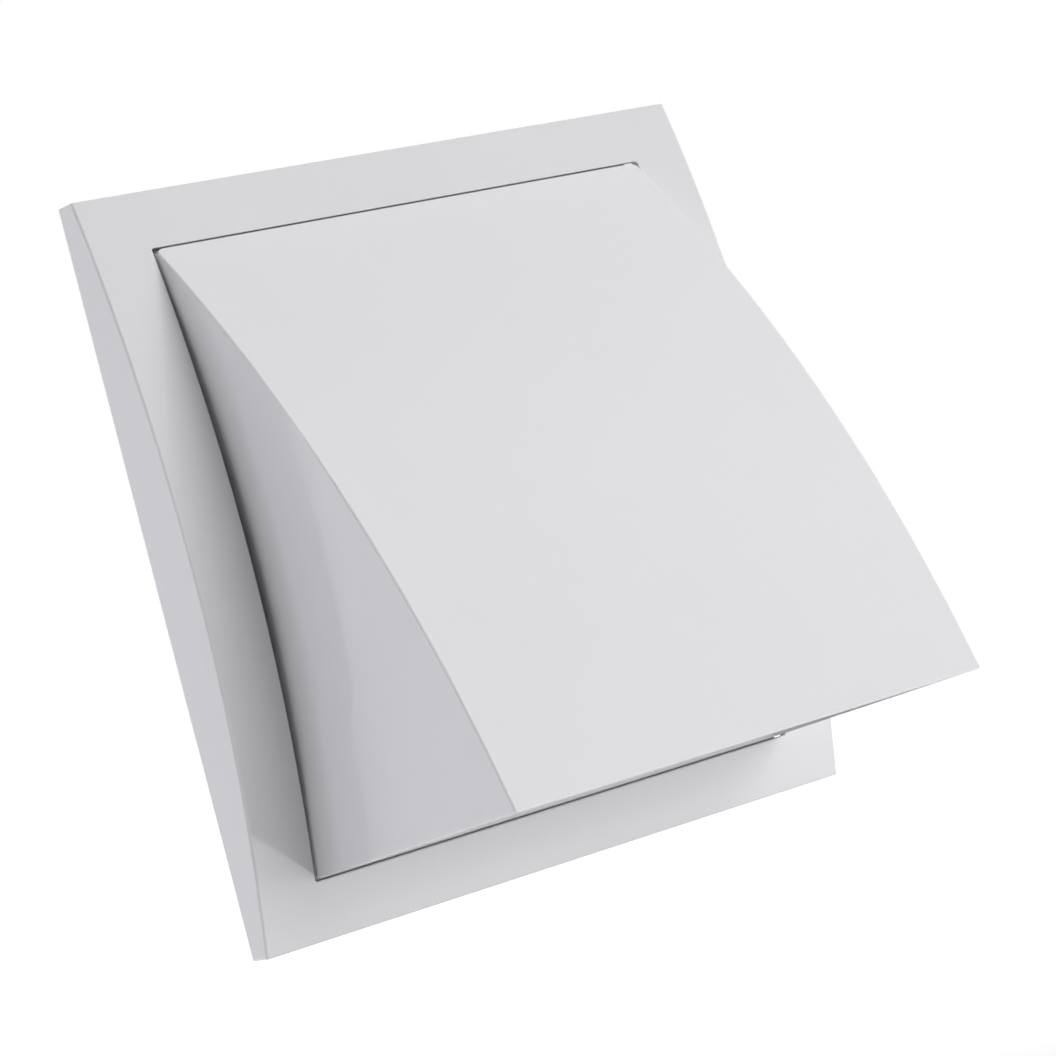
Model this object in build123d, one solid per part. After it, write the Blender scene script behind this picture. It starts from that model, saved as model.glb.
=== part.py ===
from build123d import *
import os
from math import hypot, radians, sqrt, tan

# Hooded wall outlet for a round duct, in millimetres.
# The wall plane is y = 0, the front faces -Y, +Z is up and the hood opens downwards.
# The origin lies on the duct's axis in the wall plane.

# Duct spigot and airway
duct_bore = 100.0
spigot_clearance = 0.5
spigot_wall = 2.0
spigot_length = 35.0
spigot_lead_in = 1.0

# Base plate
base_thickness = 2.0
base_corner_radius = 3.0
base_gap = 0.3
screw_hole_radius = 2.5
screw_edge_distance = 10.0

# Non-return flap and its hinge
seat_height = 1.5
flap_rest_gap = 0.3
flap_overlap = 2.5
flap_thickness = 1.2
flap_rim_width = 1.5
flap_rim_height = 1.0
hinge_rise = 2.0
hinge_wall_gap = 0.5
pin_radius = 1.5
pin_clearance = 0.06
pin_end_gap = 0.5
ear_wall = 1.5
ear_thickness = 4.0
ear_side_gap = 0.3

# Hood, whose flat sides are drafted and drawn in to a shallow waist at mid height
hood_wall = 2.0
hood_side_room = 9.25
hood_top_room = 8.9
hood_reach = 74.8
hood_lip_rise = 6.2
hood_bow = 7.2
hood_draft = 1.72
hood_waist_inset = 1.4
hood_waist_end = 2.5
hood_edge_radius = 0.4
hood_top_corner_radius = 2.0
hood_sill_corner_radius = 0.5
sill_height = 2.0
flange_width = 3.5
flange_thickness = 1.6
flange_corner_relief = 6.0

# Locating ribs on the base plate, inside the hood's top wall and sill
locating_rib_height = 1.5
locating_rib_thickness = 1.2
locating_rib_clearance = 0.3
locating_rib_end_gap = 0.6

# Front frame
hood_side_gap = 0.38
hood_end_gap = 0.36
side_border = 13.37
end_border = 11.74
frame_edge_depth = 5.1
frame_crown = 9.4
frame_wall = 1.6
frame_edge_radius = 0.5
opening_corner_radius = 0.6
opening_edge_radius = 0.3

# Ribs behind the border that press on the hood's flange
border_rib_thickness = 1.6
border_rib_length = 20.0
border_rib_inset = 0.8
border_rib_spacing = 60.0

# Clips that hold the frame on the base plate
clip_width = 10.0
clip_spacing = 50.0
clip_finger_thickness = 1.5
clip_barb = 0.9
clip_barb_length = 1.8
clip_gap = 0.3
ledge_depth = 1.2
ledge_thickness = 1.4
ledge_height = 3.4
ledge_overrun = 1.0

# Places worked out from the sizes, from the duct outwards
spigot_radius = duct_bore / 2 - spigot_clearance
airway_radius = spigot_radius - spigot_wall
base_front = -base_thickness
seat_front = base_front - seat_height

flap_radius = airway_radius + flap_overlap
flap_rear = seat_front - flap_rest_gap
flap_front = flap_rear - flap_thickness
hinge_y = base_front - hinge_wall_gap - pin_radius
hinge_z = flap_radius + hinge_rise
ear_inner = flap_radius + ear_side_gap
ear_outer = ear_inner + ear_thickness
ear_bore_radius = pin_radius + pin_clearance
ear_radius = ear_bore_radius + ear_wall

hood_half_width = flap_radius + hood_side_room + hood_wall
hood_half_height = hinge_z + hood_top_room + hood_wall
waist_half_length = hood_half_height - hood_waist_end
waist_radius = (waist_half_length**2 + hood_waist_inset**2) / (2 * hood_waist_inset)
flange_front = base_front - flange_thickness

opening_half_width = hood_half_width + hood_side_gap
opening_half_height = hood_half_height + hood_end_gap
frame_half_width = opening_half_width + side_border
frame_half_height = opening_half_height + end_border
base_half_width = frame_half_width - frame_wall - base_gap
base_half_height = frame_half_height - frame_wall - base_gap

# The frame's face is part of a cylinder that lies along X.
face_radius = (frame_half_height**2 + frame_crown**2) / (2 * frame_crown)
face_axis_y = face_radius - frame_edge_depth - frame_crown

# Cutting tools reach this far past the faces that they open.
cut_overrun = 10.0

# An edge this close to a curved face counts as lying on it.
on_face = 0.03


def face_y(z, depth=0.0):
    """Place of the frame's bowed face at height z, or of the surface that lies depth behind it."""
    return face_axis_y - sqrt((face_radius - depth) ** 2 - z**2)


def between(low, high):
    """Box between two opposite corners."""
    size = [b - a for a, b in zip(low, high)]
    middle = [(a + b) / 2 for a, b in zip(low, high)]
    return Pos(*middle) * Box(*size)


def bowed_block(half_width, half_height, depth):
    """Block from the wall plane to the bowed face, or to the surface that lies depth behind it."""
    edge_y = face_y(half_height, depth)
    crown = ThreePointArc((edge_y, half_height), (face_y(0, depth), 0), (edge_y, -half_height))
    back = Polyline((edge_y, -half_height), (0, -half_height), (0, half_height), (edge_y, half_height))
    return extrude(Plane.YZ * make_face(crown + back), half_width, both=True)


def drafted_block(half_width, half_height, rear, front):
    """Block whose two sides close in towards the front by the moulding draft."""
    slope = tan(radians(hood_draft))
    rear_x = half_width + rear * slope
    front_x = half_width + front * slope
    outline = Polygon((-rear_x, rear), (rear_x, rear), (front_x, front), (-front_x, front), align=None)
    return extrude(outline, half_height, both=True)


def make_front_frame():
    """Hollow square frame with a bowed face, open behind, with ribs and clip ledges inside."""
    block = bowed_block(frame_half_width, frame_half_height, 0)
    hollow = bowed_block(frame_half_width - frame_wall, frame_half_height - frame_wall, frame_wall)
    outer_edges = block.edges().filter_by(lambda edge: edge.center().Y < -frame_edge_radius)
    opening = RectangleRounded(2 * opening_half_width, 2 * opening_half_height, opening_corner_radius)
    shell = fillet(outer_edges, frame_edge_radius) - hollow
    shell -= extrude(Plane.XZ * opening, frame_edge_depth + frame_crown + cut_overrun)

    def on_opening_edge(edge):
        middle = edge.position_at(0.5)
        radius = hypot(face_axis_y - middle.Y, middle.Z)
        within_sides = abs(middle.X) < opening_half_width + frame_wall
        within_ends = abs(middle.Z) < opening_half_height + frame_wall
        return within_sides and within_ends and abs(radius - face_radius) < on_face

    shell = fillet(shell.edges().filter_by(on_opening_edge), opening_edge_radius)

    rib_front = -frame_edge_depth - frame_crown
    for place in (-border_rib_spacing / 2, border_rib_spacing / 2):
        low, high = place - border_rib_length / 2, place + border_rib_length / 2
        for side in (-1, 1):
            near_x = side * (opening_half_width + border_rib_inset)
            far_x = near_x + side * border_rib_thickness
            near_z = side * (opening_half_height + border_rib_inset)
            far_z = near_z + side * border_rib_thickness
            side_rib = between(
                (min(near_x, far_x), rib_front, low), (max(near_x, far_x), flange_front, high)
            )
            end_rib = between(
                (low, rib_front, min(near_z, far_z)), (high, flange_front, max(near_z, far_z))
            )
            buried = bowed_block(frame_half_width, frame_half_height, frame_wall / 2)
            shell += (side_rib + end_rib) & buried

    ledge_half_length = clip_width / 2 + ledge_overrun
    for place in (-clip_spacing / 2, clip_spacing / 2):
        for side in (-1, 1):
            inner_x = side * (frame_half_width - frame_wall - ledge_depth)
            outer_x = side * (frame_half_width - frame_wall / 2)
            shell += between(
                (min(inner_x, outer_x), -ledge_height - ledge_thickness, place - ledge_half_length),
                (max(inner_x, outer_x), -ledge_height, place + ledge_half_length),
            )
    return shell


def beside_waist(depth=0.0):
    """The two spaces beside the hood's waisted sides, or beside the surfaces that lie depth inside them."""
    half_height = hood_half_height + cut_overrun
    radius = waist_radius + depth
    middle_x = hood_half_width - hood_waist_inset - depth
    end_x = middle_x + radius - sqrt(radius**2 - half_height**2)
    far_x = hood_half_width + cut_overrun
    waist = ThreePointArc((end_x, half_height), (middle_x, 0), (end_x, -half_height))
    outside = Polyline(
        (end_x, -half_height), (far_x, -half_height), (far_x, half_height), (end_x, half_height)
    )
    space = extrude(Plane.XZ * make_face(waist + outside), hood_reach + cut_overrun, both=True)
    return space, mirror(space, Plane.YZ)


def make_hood():
    """Hood shell: bowed front, waisted sides and a sill, open below and behind, with a rear flange."""
    top = (face_y(hood_half_height), hood_half_height)
    lip = (-hood_reach, hood_lip_rise - hood_half_height)
    sill = (face_y(hood_half_height), -hood_half_height)
    front = SagittaArc(top, lip, -hood_bow)
    outline = Polyline(lip, sill, (base_front, -hood_half_height), (base_front, hood_half_height), top)
    profile = make_face(front + outline)

    block = drafted_block(hood_half_width, hood_half_height, base_front, -hood_reach)
    shell = block & extrude(Plane.YZ * profile, hood_half_width, both=True)
    sill_corners = shell.edges().filter_by(
        lambda edge: abs(edge.center().X) > hood_half_width / 2
        and edge.center().Z + hood_half_height < hood_sill_corner_radius
        and edge.length < hood_reach / 2
    )
    shell = fillet(sill_corners, hood_sill_corner_radius)

    front_centre = front.arc_center
    front_radius = front.radius

    def on_front_rim(edge):
        middle = edge.position_at(0.5)
        radius = hypot(middle.Y - front_centre.X, middle.Z - front_centre.Y)
        below_top = middle.Z < hood_half_height - hood_top_corner_radius
        return below_top and abs(radius - front_radius) < on_face

    shell = fillet(shell.edges().filter_by(on_front_rim), hood_edge_radius)
    for space in beside_waist():
        shell -= space

    top_corners = Rectangle(2 * hood_half_width, 2 * hood_half_height)
    top_corners = fillet(top_corners.vertices().group_by(Axis.Y)[-1], hood_top_corner_radius)
    shell &= extrude(Plane.XZ * top_corners, hood_reach + cut_overrun)

    inner_top = hood_half_height - hood_wall
    sill_top = -hood_half_height + sill_height
    below = -hood_half_height - cut_overrun
    past_front = -hood_reach - cut_overrun
    room = Polygon(
        (cut_overrun, inner_top),
        (cut_overrun, sill_top),
        (sill[0], sill_top),
        (sill[0], below),
        (past_front, below),
        (past_front, inner_top),
        align=None,
    )
    room &= Pos(front_centre.X, front_centre.Y) * Circle(front_radius - hood_wall)
    cavity = extrude(Plane.YZ * room, hood_half_width, both=True)
    inner_height = hood_half_height + 2 * cut_overrun
    cavity &= drafted_block(hood_half_width - hood_wall, inner_height, cut_overrun, past_front)
    for space in beside_waist(hood_wall):
        cavity -= space
    shell -= cavity

    half_length_x = hood_half_width - flange_corner_relief
    half_length_z = hood_half_height - flange_corner_relief
    for side in (-1, 1):
        near_x = side * (hood_half_width - hood_waist_inset - hood_wall / 2)
        far_x = side * (hood_half_width + flange_width)
        near_z = side * (hood_half_height - hood_wall / 2)
        far_z = side * (hood_half_height + flange_width)
        shell += between(
            (min(near_x, far_x), flange_front, -half_length_z),
            (max(near_x, far_x), base_front, half_length_z),
        )
        shell += between(
            (-half_length_x, flange_front, min(near_z, far_z)),
            (half_length_x, base_front, max(near_z, far_z)),
        )
    return shell


def make_base_plate():
    """Square plate against the wall with the duct spigot, flap seat, hinge ears, screw holes and clips."""
    outline = RectangleRounded(2 * base_half_width, 2 * base_half_height, base_corner_radius)
    plate = extrude(Plane.XZ * outline, base_thickness)

    wall_section = Polygon(
        (airway_radius, seat_front),
        (spigot_radius, seat_front),
        (spigot_radius, spigot_length - spigot_lead_in),
        (spigot_radius - spigot_lead_in, spigot_length),
        (airway_radius, spigot_length),
        align=None,
    )
    plate += revolve(wall_section, Axis.Y)
    plate -= Rot(90, 0, 0) * Cylinder(airway_radius, 2 * (spigot_length + cut_overrun))

    rib_half_length = hood_half_width - hood_wall - locating_rib_end_gap
    rib_outer = hood_half_height - max(hood_wall, sill_height) - locating_rib_clearance
    rib_inner = rib_outer - locating_rib_thickness
    rib_front = base_front - locating_rib_height
    for side in (-1, 1):
        low, high = sorted((side * rib_inner, side * rib_outer))
        plate += between((-rib_half_length, rib_front, low), (rib_half_length, base_front / 2, high))

    ear_foot = (base_front / 2, hinge_z - ear_radius)
    ear_low = (hinge_y, hinge_z - ear_radius)
    ear_nose = (hinge_y - ear_radius, hinge_z)
    ear_high = (hinge_y, hinge_z + ear_radius)
    ear_head = (base_front / 2, hinge_z + ear_radius)
    ear_round = ThreePointArc(ear_low, ear_nose, ear_high)
    ear_outline = make_face(ear_round + Polyline(ear_high, ear_head, ear_foot, ear_low))
    ear = extrude(Plane.YZ * ear_outline, ear_thickness / 2, both=True)
    for side in (-1, 1):
        plate += Pos(side * (ear_inner + ear_outer) / 2, 0, 0) * ear
    ear_bore = Cylinder(ear_bore_radius, 2 * (ear_outer + cut_overrun))
    plate -= Pos(0, hinge_y, hinge_z) * Rot(0, 90, 0) * ear_bore

    finger_outer = frame_half_width - frame_wall - ledge_depth - clip_gap
    barb_rear = -ledge_height - ledge_thickness
    finger = Polygon(
        (finger_outer - clip_finger_thickness, base_front / 2),
        (finger_outer, base_front / 2),
        (finger_outer, barb_rear),
        (finger_outer + clip_barb, barb_rear),
        (finger_outer, barb_rear - clip_barb_length),
        (finger_outer - clip_finger_thickness, barb_rear - clip_barb_length),
        align=None,
    )
    clip = extrude(finger, clip_width / 2, both=True)
    for place in (-clip_spacing / 2, clip_spacing / 2):
        plate += Pos(0, 0, place) * clip
        plate += Pos(0, 0, place) * mirror(clip, Plane.YZ)

    screw_x = frame_half_width - screw_edge_distance
    screw_z = frame_half_height - screw_edge_distance
    hole = Rot(90, 0, 0) * Cylinder(screw_hole_radius, 2 * (base_thickness + cut_overrun))
    for place in GridLocations(2 * screw_x, 2 * screw_z, 2, 2):
        plate -= Pos(place.position.X, 0, place.position.Y) * hole
    return plate


def make_flap():
    """Thin flap with a round lower edge, a stiffening rim in front and a hinge rod along its top."""
    outline = Circle(flap_radius) + Pos(0, hinge_z / 2) * Rectangle(2 * flap_radius, hinge_z)
    field = offset(outline, -flap_rim_width)
    plate = Pos(0, flap_rear, 0) * extrude(Plane.XZ * outline, flap_thickness)
    plate += Pos(0, flap_front, 0) * extrude(Plane.XZ * (outline - field), flap_rim_height)
    rod_half_length = ear_outer - pin_end_gap
    plate += Pos(0, hinge_y, hinge_z) * Rot(0, 90, 0) * Cylinder(pin_radius, 2 * rod_half_length)
    return plate


pieces = {
    "front_frame": make_front_frame(),
    "hood": make_hood(),
    "base_plate": make_base_plate(),
    "flap": make_flap(),
}

os.makedirs("parts", exist_ok=True)
for node, piece in pieces.items():
    export_step(piece, f"parts/{node}.step")
    box = piece.bounding_box()
    print(node, "volume", round(piece.volume), "from", tuple(box.min), "to", tuple(box.max))
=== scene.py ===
from math import radians

import bmesh
import bpy
from mathutils import Matrix, Vector


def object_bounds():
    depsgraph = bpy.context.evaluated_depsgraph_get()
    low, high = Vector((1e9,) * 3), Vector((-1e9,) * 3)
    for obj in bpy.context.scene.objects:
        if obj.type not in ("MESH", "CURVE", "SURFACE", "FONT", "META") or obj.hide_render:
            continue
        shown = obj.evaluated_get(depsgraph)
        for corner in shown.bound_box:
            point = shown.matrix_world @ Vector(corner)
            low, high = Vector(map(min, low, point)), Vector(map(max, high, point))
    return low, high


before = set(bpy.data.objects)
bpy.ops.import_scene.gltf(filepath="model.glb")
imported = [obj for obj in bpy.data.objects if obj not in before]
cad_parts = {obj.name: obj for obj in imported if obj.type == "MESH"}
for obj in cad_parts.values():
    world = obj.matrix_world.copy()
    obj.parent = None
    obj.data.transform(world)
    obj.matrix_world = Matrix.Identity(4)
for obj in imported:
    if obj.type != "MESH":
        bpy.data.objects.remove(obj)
cad_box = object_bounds()
scene = bpy.context.scene


# Base plate
# The plate that is screwed to the wall, with the duct spigot behind it and the flap's seat in front.
# It is injection moulded in white plastic. It is hidden in use, so its mould has a plain satin grain.
def build_moulded_skin():
    """Node group for moulded plastic: drifting tone, uneven gloss, long ripples and fine grain."""
    group = bpy.data.node_groups.new("moulded_skin", "ShaderNodeTree")
    wanted = {
        "Tint": "NodeSocketColor",
        "Tone Drift": "NodeSocketFloat",
        "Roughness": "NodeSocketFloat",
        "Gloss Drift": "NodeSocketFloat",
        "Ripple Height": "NodeSocketFloat",
        "Grain Scale": "NodeSocketFloat",
        "Grain Height": "NodeSocketFloat",
        "Shift": "NodeSocketVector",
    }
    for name, kind in wanted.items():
        group.interface.new_socket(name=name, in_out="INPUT", socket_type=kind)
    given = {"Color": "NodeSocketColor", "Roughness": "NodeSocketFloat", "Height": "NodeSocketFloat"}
    for name, kind in given.items():
        group.interface.new_socket(name=name, in_out="OUTPUT", socket_type=kind)

    nodes = group.nodes
    link = group.links.new
    values = nodes.new("NodeGroupInput").outputs
    results = nodes.new("NodeGroupOutput").inputs

    # The shift gives each piece its own stretch of the same pattern.
    coords = nodes.new("ShaderNodeTexCoord")
    place = nodes.new("ShaderNodeVectorMath")
    place.operation = "ADD"
    link(coords.outputs["Object"], place.inputs[0])
    link(values["Shift"], place.inputs[1])

    def noise(scale, detail):
        """Noise that varies about zero."""
        texture = nodes.new("ShaderNodeTexNoise")
        texture.inputs["Detail"].default_value = detail
        link(place.outputs["Vector"], texture.inputs["Vector"])
        if isinstance(scale, bpy.types.NodeSocket):
            link(scale, texture.inputs["Scale"])
        else:
            texture.inputs["Scale"].default_value = scale
        noise_mean = 0.5
        centred = nodes.new("ShaderNodeMath")
        centred.operation = "SUBTRACT"
        link(texture.outputs["Fac"], centred.inputs[0])
        centred.inputs[1].default_value = noise_mean
        return centred.outputs["Value"]

    def scaled(value, factor, base):
        """The value times the factor, added to the base."""
        sum_node = nodes.new("ShaderNodeMath")
        sum_node.operation = "MULTIPLY_ADD"
        link(value, sum_node.inputs[0])
        link(factor, sum_node.inputs[1])
        if isinstance(base, bpy.types.NodeSocket):
            link(base, sum_node.inputs[2])
        else:
            sum_node.inputs[2].default_value = base
        return sum_node.outputs["Value"]

    flow = noise(scale=24.0, detail=2.0)
    cooling = noise(scale=90.0, detail=1.0)
    grain = noise(scale=values["Grain Scale"], detail=1.0)

    tone = nodes.new("ShaderNodeVectorMath")
    tone.operation = "SCALE"
    link(values["Tint"], tone.inputs[0])
    link(scaled(flow, values["Tone Drift"], base=1.0), tone.inputs["Scale"])
    link(tone.outputs["Vector"], results["Color"])
    link(scaled(cooling, values["Gloss Drift"], base=values["Roughness"]), results["Roughness"])
    ripple = scaled(cooling, values["Ripple Height"], base=0.0)
    link(scaled(grain, values["Grain Height"], base=ripple), results["Height"])
    return group


moulded_skin = build_moulded_skin()


def moulded_plastic(name, **finish):
    """White moulded plastic whose colour, gloss and fine relief come from the moulded skin."""
    material = bpy.data.materials.new(name)
    material.use_nodes = True
    nodes = material.node_tree.nodes
    link = material.node_tree.links.new
    shader = nodes["Principled BSDF"]
    shader.inputs["IOR"].default_value = 1.5
    skin = nodes.new("ShaderNodeGroup")
    skin.node_tree = moulded_skin
    for socket, value in finish.items():
        skin.inputs[socket.replace("_", " ").title()].default_value = value
    relief = nodes.new("ShaderNodeBump")
    relief.inputs["Distance"].default_value = 1.0
    link(skin.outputs["Color"], shader.inputs["Base Color"])
    link(skin.outputs["Roughness"], shader.inputs["Roughness"])
    link(skin.outputs["Height"], relief.inputs["Height"])
    link(relief.outputs["Normal"], shader.inputs["Normal"])
    return material


satin_tint = (0.82, 0.815, 0.815, 1.0)
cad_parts["base_plate"].material_slots[0].material = moulded_plastic(
    "base_satin_white",
    tint=satin_tint,
    tone_drift=0.03,
    roughness=0.36,
    gloss_drift=0.12,
    ripple_height=0.00002,
    grain_scale=2600.0,
    grain_height=0.000012,
    shift=(0.31, 0.0, 0.0),
)


# Flap
# A thin round-bottomed flap that closes the duct when no air flows, with a rim along its edge.
# It is moulded in satin white plastic with its two pins, which turn in the ears of the base plate.
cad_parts["flap"].material_slots[0].material = moulded_plastic(
    "flap_satin_white",
    tint=satin_tint,
    tone_drift=0.03,
    roughness=0.42,
    gloss_drift=0.10,
    ripple_height=0.00003,
    grain_scale=2200.0,
    grain_height=0.000014,
    shift=(0.0, 0.53, 0.0),
)


# Hood
# The curved cover that throws rain off and lets the air out below, one glossy white moulding.
# It stands in the frame's opening, and its rear flange is held between the frame and the base plate.
gloss_finish = {
    "tone_drift": 0.02,
    "gloss_drift": 0.05,
    "ripple_height": 0.000006,
    "grain_scale": 900.0,
    "grain_height": 0.0000006,
}
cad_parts["hood"].material_slots[0].material = moulded_plastic(
    "hood_gloss_white",
    tint=(0.868, 0.860, 0.860, 1.0),
    roughness=0.10,
    shift=(0.0, 0.0, 0.71),
    **gloss_finish,
)


# Front frame
# The square surround with a face that bows from top to bottom, in a slightly darker glossy white.
# It is one moulding, which clips over the base plate and covers its screw holes and the hood's flange.
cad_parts["front_frame"].material_slots[0].material = moulded_plastic(
    "frame_gloss_white",
    tint=(0.800, 0.792, 0.792, 1.0),
    roughness=0.09,
    shift=(0.17, 0.29, 0.0),
    **gloss_finish,
)


# Floor
# A plain white studio floor well below the part, which hangs as it does on its wall.
# It takes the part's soft shadow, fades to white for the camera and is plain white in reflections.
floor_drop = 0.13
floor_half_size = 6.0
floor_height = cad_box[0].z - floor_drop
floor_mesh = bpy.data.meshes.new("studio_floor")
floor_shape = bmesh.new()
bmesh.ops.create_grid(floor_shape, x_segments=1, y_segments=1, size=floor_half_size)
bmesh.ops.translate(floor_shape, verts=floor_shape.verts, vec=(0.0, 0.0, floor_height))
floor_shape.to_mesh(floor_mesh)
floor_shape.free()
floor = bpy.data.objects.new("studio_floor", floor_mesh)
scene.collection.objects.link(floor)

floor_paint = bpy.data.materials.new("studio_floor")
floor_paint.use_nodes = True
floor_nodes = floor_paint.node_tree.nodes
floor_link = floor_paint.node_tree.links.new
floor_nodes.remove(floor_nodes["Principled BSDF"])
floor_white = (0.85, 0.85, 0.85, 1.0)
floor_diffuse = floor_nodes.new("ShaderNodeBsdfDiffuse")
floor_diffuse.inputs["Color"].default_value = floor_white
floor_glow = floor_nodes.new("ShaderNodeEmission")
floor_seen = floor_nodes.new("ShaderNodeLightPath")
floor_place = floor_nodes.new("ShaderNodeTexCoord")
floor_reach = floor_nodes.new("ShaderNodeVectorMath")
floor_reach.operation = "LENGTH"
floor_link(floor_place.outputs["Object"], floor_reach.inputs[0])
shadow_radius = 0.35
white_radius = 0.7
shadow_glow = 0.35
white_glow = 1.0
floor_lift = floor_nodes.new("ShaderNodeMapRange")
floor_lift.inputs["From Min"].default_value = shadow_radius
floor_lift.inputs["From Max"].default_value = white_radius
floor_lift.inputs["To Min"].default_value = shadow_glow
floor_lift.inputs["To Max"].default_value = white_glow
floor_link(floor_reach.outputs["Value"], floor_lift.inputs["Value"])
floor_direct = floor_nodes.new("ShaderNodeMath")
floor_direct.operation = "MULTIPLY"
floor_link(floor_lift.outputs["Result"], floor_direct.inputs[0])
floor_link(floor_seen.outputs["Is Camera Ray"], floor_direct.inputs[1])
floor_strength = floor_nodes.new("ShaderNodeMath")
floor_strength.operation = "MAXIMUM"
floor_link(floor_direct.outputs["Value"], floor_strength.inputs[0])
floor_link(floor_seen.outputs["Is Glossy Ray"], floor_strength.inputs[1])
floor_link(floor_strength.outputs["Value"], floor_glow.inputs["Strength"])
floor_sum = floor_nodes.new("ShaderNodeAddShader")
floor_link(floor_diffuse.outputs["BSDF"], floor_sum.inputs[0])
floor_link(floor_glow.outputs["Emission"], floor_sum.inputs[1])
floor_link(floor_sum.outputs["Shader"], floor_nodes["Material Output"].inputs["Surface"])
floor_mesh.materials.append(floor_paint)


# Studio light
# A white room with soft boxes at the front, far right, top and left, and a glow from two of its walls.
# The camera and reflections see the room as plain white. The soft boxes don't show in reflections, and
# a bounce board on the floor in front shows only there.
room = bpy.data.worlds.new("white_room")
room.use_nodes = True
scene.world = room
room_nodes = room.node_tree.nodes
room_link = room.node_tree.links.new
room_white = room_nodes["Background"]
room_white.inputs["Color"].default_value = (1.0, 1.0, 1.0, 1.0)
room_rays = room_nodes.new("ShaderNodeLightPath")
seen_directly = room_nodes.new("ShaderNodeMath")
seen_directly.operation = "MAXIMUM"
room_link(room_rays.outputs["Is Camera Ray"], seen_directly.inputs[0])
room_link(room_rays.outputs["Is Glossy Ray"], seen_directly.inputs[1])
seen_at_all = room_nodes.new("ShaderNodeMath")
seen_at_all.operation = "MAXIMUM"
room_link(seen_directly.outputs["Value"], seen_at_all.inputs[0])
room_link(room_rays.outputs["Is Transmission Ray"], seen_at_all.inputs[1])
room_link(seen_at_all.outputs["Value"], room_white.inputs["Strength"])

part_middle = Vector((0.0, -0.02, 0.0))
cool_white = (0.969, 0.967, 1.0)
cold_white = (0.931, 0.939, 1.0)
soft_boxes = {
    "front_box": {"place": (0.25, -0.85, -0.12), "side": 0.5, "power": 2.45, "tint": cool_white},
    "far_right_box": {"place": (1.50, -0.60, 1.60), "side": 1.4, "power": 19.4, "tint": cool_white},
    "top_box": {"place": (0.10, -0.35, 0.95), "side": 0.9, "power": 1.40, "tint": cool_white},
    "left_box": {"place": (-1.00, 0.15, 0.15), "side": 0.8, "power": 3.17, "tint": cold_white},
    "rear_left_box": {"place": (-0.40, 0.30, -0.03), "side": 0.35, "power": 0.46, "tint": cold_white},
}
for name, box in soft_boxes.items():
    light = bpy.data.lights.new(name, "AREA")
    light.size = box["side"]
    light.energy = box["power"]
    light.color = box["tint"]
    lamp = bpy.data.objects.new(name, light)
    lamp.location = box["place"]
    lamp.rotation_euler = (part_middle - lamp.location).to_track_quat("-Z", "Y").to_euler()
    lamp.visible_camera = False
    lamp.visible_glossy = False
    scene.collection.objects.link(lamp)

glow_spread = radians(30.0)
wall_glows = {
    "front_wall": {"from": (0.295, -0.939, 0.16), "level": 1.10, "tint": cool_white},
    "rear_left_wall": {"from": (-0.35, 0.93, 0.10), "level": 1.27, "tint": cold_white},
}
for name, glow in wall_glows.items():
    light = bpy.data.lights.new(name, "SUN")
    light.angle = glow_spread
    light.energy = glow["level"]
    light.color = glow["tint"]
    lamp = bpy.data.objects.new(name, light)
    lamp.rotation_euler = Vector(glow["from"]).to_track_quat("Z", "Y").to_euler()
    lamp.visible_camera = False
    lamp.visible_glossy = False
    scene.collection.objects.link(lamp)

board_width = 0.70
board_depth = 0.80
board_power = 2.1
board_lift = 0.002
facing_up = (radians(180.0), 0.0, 0.0)
bounce_light = bpy.data.lights.new("bounce_board", "AREA")
bounce_light.shape = "RECTANGLE"
bounce_light.size = board_width
bounce_light.size_y = board_depth
bounce_light.energy = board_power
bounce_board = bpy.data.objects.new("bounce_board", bounce_light)
bounce_board.location = (0.25, -0.52, floor_height + board_lift)
bounce_board.rotation_euler = facing_up
bounce_board.visible_camera = False
bounce_board.visible_diffuse = False
scene.collection.objects.link(bounce_board)


# Camera
# A long lens a little below the part's middle, to its left and tilted, as the photograph was taken.
camera_eye = Vector((-0.433649, -0.605521, -0.013436))
camera_aim = Vector((-0.007328, -0.030, -0.007258))
camera_roll = radians(-14.5789)
camera_lens = bpy.data.cameras.new("photo_camera")
camera_lens.sensor_width = 36.0
camera_lens.lens = 123.767
camera_lens.clip_start = 0.01
camera = bpy.data.objects.new("photo_camera", camera_lens)
camera_turn = (camera_aim - camera_eye).to_track_quat("-Z", "Y").to_matrix().to_4x4()
camera_tilt = Matrix.Rotation(camera_roll, 4, "Z")
camera.matrix_world = Matrix.Translation(camera_eye) @ camera_turn @ camera_tilt
scene.collection.objects.link(camera)
scene.camera = camera
scene.view_settings.view_transform = "Standard"
